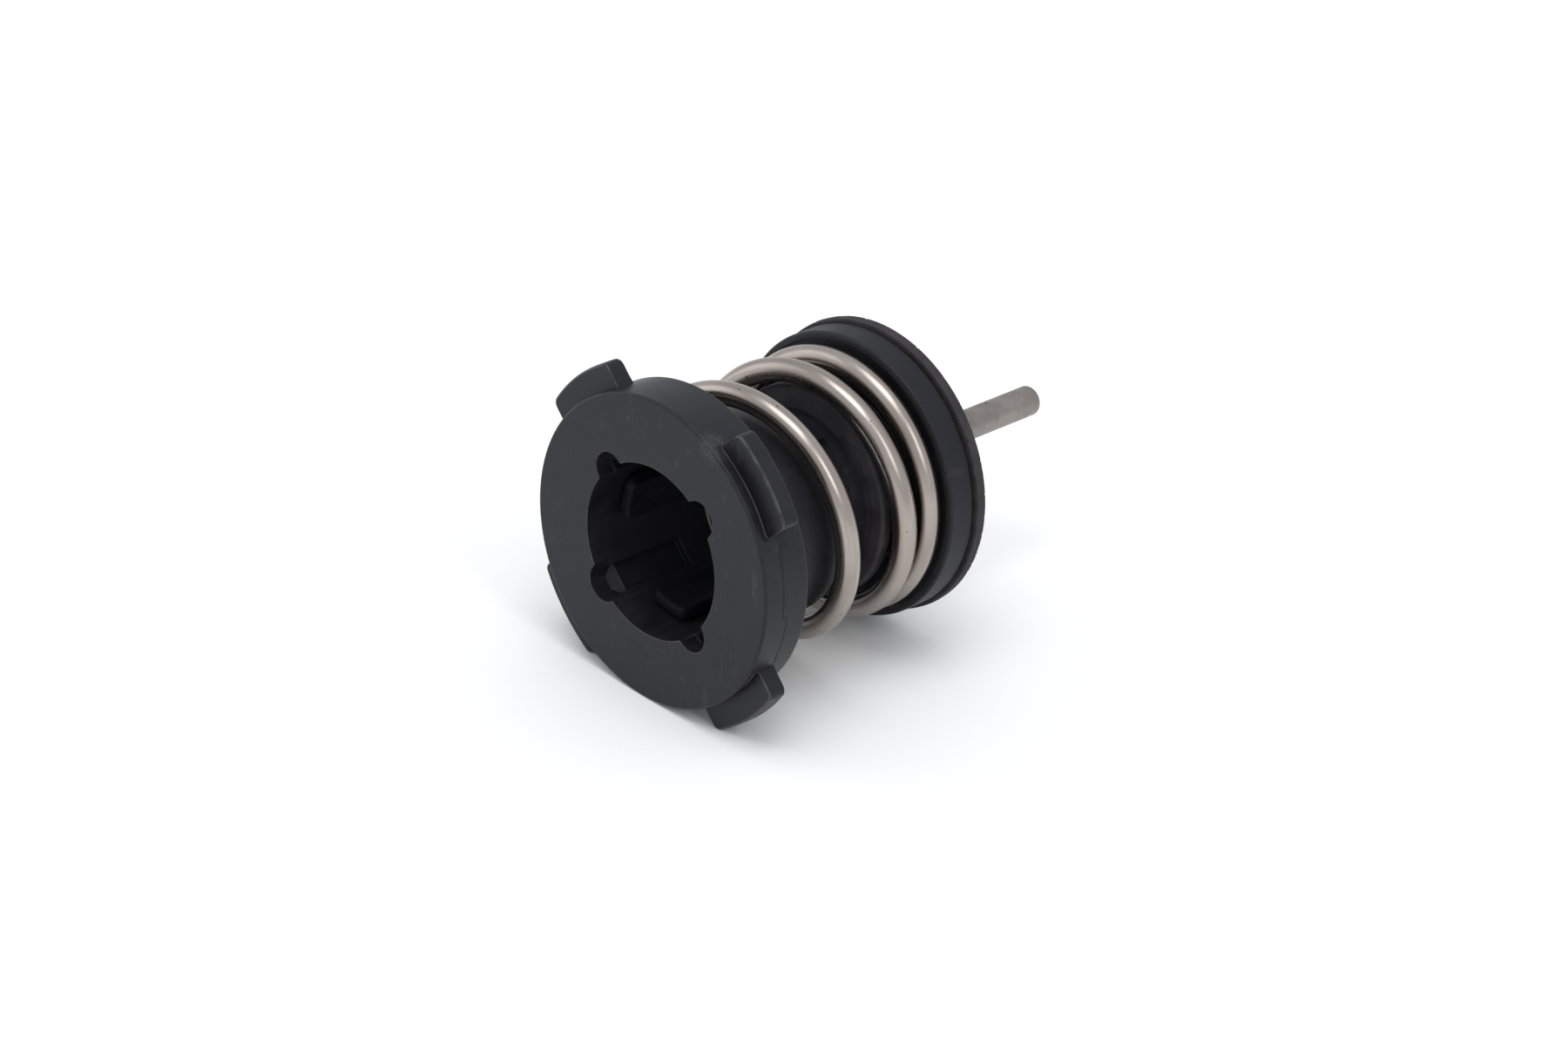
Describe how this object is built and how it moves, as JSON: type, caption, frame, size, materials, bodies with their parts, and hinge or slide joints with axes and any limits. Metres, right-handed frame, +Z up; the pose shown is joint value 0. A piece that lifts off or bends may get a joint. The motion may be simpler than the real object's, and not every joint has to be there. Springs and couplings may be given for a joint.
{
  "type": "diverter valve cartridge",
  "caption": "Plug-in diverter valve cartridge: a spring holds a spindle-driven rubber-sealed valve off its seat, in a seat body that locks into a bore by bayonet lugs.",
  "frame": {"origin": "centre of the bounding box on the surface the cartridge lies on: halfway along its length, under the spindle axis", "axes": "+Y along the spindle axis from the seat body's front face to the spindle's tip, +Z up from the ring it lies on, midway between two lugs, +X to the right seen from the front"},
  "size_m": [0.0322, 0.0544, 0.0322],
  "materials": {
    "seat_plastic": "satin, fine moulded grain",
    "carrier_plastic": "satin moulded",
    "seal_rubber": "matte",
    "spring_steel": "drawn wire, satin",
    "spindle_steel": "matte, bead-blasted look",
    "retainer_steel": "pressed sheet, satin"
  },
  "bodies": {
    "seat": {"seat_body": "seat_plastic", "spring": "spring_steel"},
    "valve": {"valve_carrier": "carrier_plastic", "front_seal": "seal_rubber", "rear_seal": "seal_rubber", "seal_retainer": "retainer_steel", "spindle": "spindle_steel", "spindle_o_ring": "seal_rubber", "e_clip": "retainer_steel"}
  },
  "joints": [
    {"name": "valve_slide", "type": "slide", "parent": "seat", "child": "valve", "axis": [0, -1, 0], "range_m": [0, 0.0052], "stiffness_N_per_m": 6800, "springref_m": -0.0002, "deforming": ["spring"]}
  ]
}
